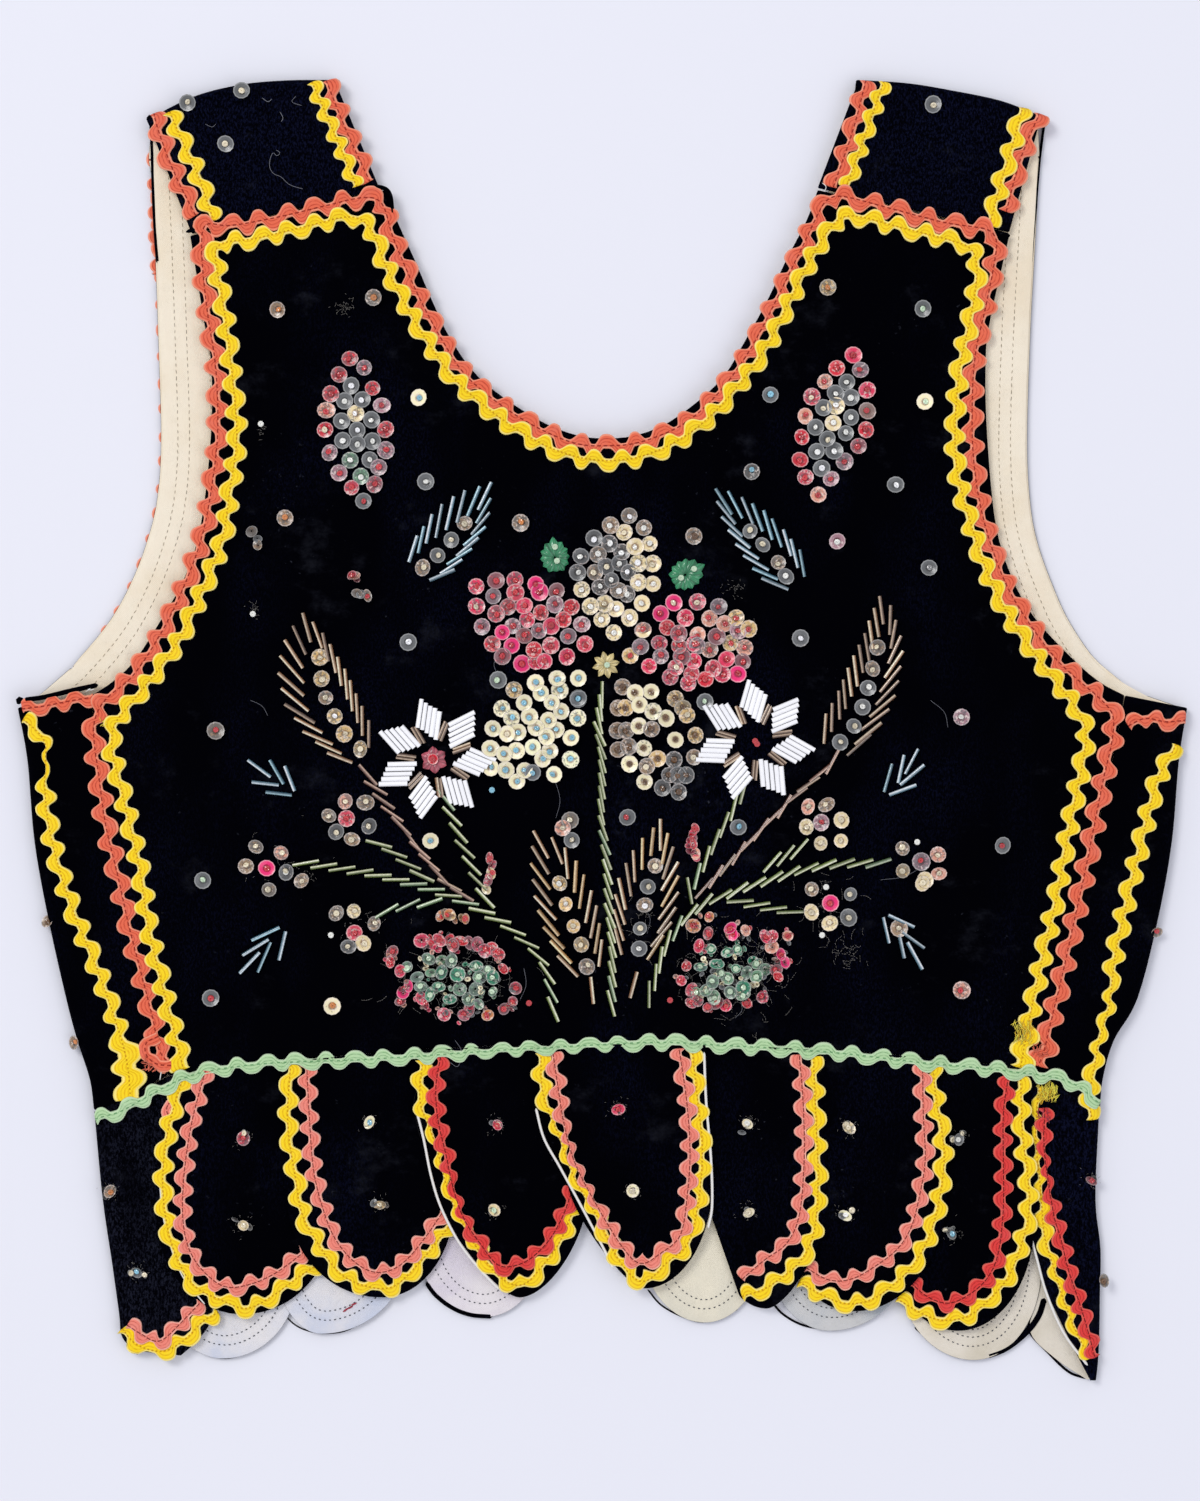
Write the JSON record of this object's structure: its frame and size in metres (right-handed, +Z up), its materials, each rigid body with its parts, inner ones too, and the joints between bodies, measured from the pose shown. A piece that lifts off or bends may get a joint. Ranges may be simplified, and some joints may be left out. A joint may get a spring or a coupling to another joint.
{
  "type": "embroidered folk vest",
  "caption": "Sleeveless black velvet folk vest laid flat, back uppermost, with a scooped neck, wide shoulder straps, zigzag braid trim and a hem of rounded overlapping tabs.",
  "frame": {"origin": "on the surface the vest lies on, below the middle of its bounding box", "axes": "+Z up from the surface, out of the back panel; +Y from the hem towards the shoulders; +X to the right with the back panel facing the viewer"},
  "size_m": [0.4222, 0.4693, 0.0083],
  "materials": {
    "velvet": "soft black cotton velvet",
    "lining": "plain cream cotton",
    "coral": "matt woven coral zigzag braid",
    "yellow": "matt woven yellow zigzag braid",
    "red": "matt woven red zigzag braid",
    "salmon": "matt woven salmon zigzag braid",
    "green": "matt woven mint green zigzag braid"
  },
  "bodies": {
    "root": {"back": "velvet", "braid_back_coral": "coral", "braid_back_yellow": "yellow", "braid_side_left_coral": "coral", "braid_side_left_yellow": "yellow", "braid_side_right_coral": "coral", "braid_side_right_yellow": "yellow", "braid_strap_left_arm_coral": "coral", "braid_strap_left_arm_yellow": "yellow", "braid_strap_left_neck_coral": "coral", "braid_strap_left_neck_yellow": "yellow", "braid_strap_right_arm_coral": "coral", "braid_strap_right_arm_yellow": "yellow", "braid_strap_right_neck_coral": "coral", "braid_strap_right_neck_yellow": "yellow", "braid_tab_1_inner": "salmon", "braid_tab_1_outer": "yellow", "braid_tab_2_inner": "salmon", "braid_tab_2_outer": "yellow", "braid_tab_3_inner": "salmon", "braid_tab_3_outer": "yellow", "braid_tab_4_inner": "red", "braid_tab_4_outer": "yellow", "braid_tab_5_inner": "salmon", "braid_tab_5_outer": "yellow", "braid_tab_6_inner": "salmon", "braid_tab_6_outer": "yellow", "braid_tab_7_inner": "salmon", "braid_tab_7_outer": "yellow", "braid_tab_8_inner": "red", "braid_tab_8_outer": "yellow", "braid_tab_9_inner": "red", "braid_tab_9_outer": "yellow", "braid_waist_green": "green", "facing_left": "lining", "facing_right": "lining", "front_left": "velvet", "front_right": "velvet", "side_left": "velvet", "side_right": "velvet", "strap_left": "velvet", "strap_right": "velvet", "tab_1": "velvet", "tab_2": "velvet", "tab_3": "velvet", "tab_4": "velvet", "tab_5": "velvet", "tab_6": "velvet", "tab_7": "velvet", "tab_8": "velvet", "tab_9": "velvet", "under_tab_1": "lining", "under_tab_2": "lining", "under_tab_3": "lining", "under_tab_4": "lining", "under_tab_5": "lining", "under_tab_6": "lining"}
  },
  "joints": []
}
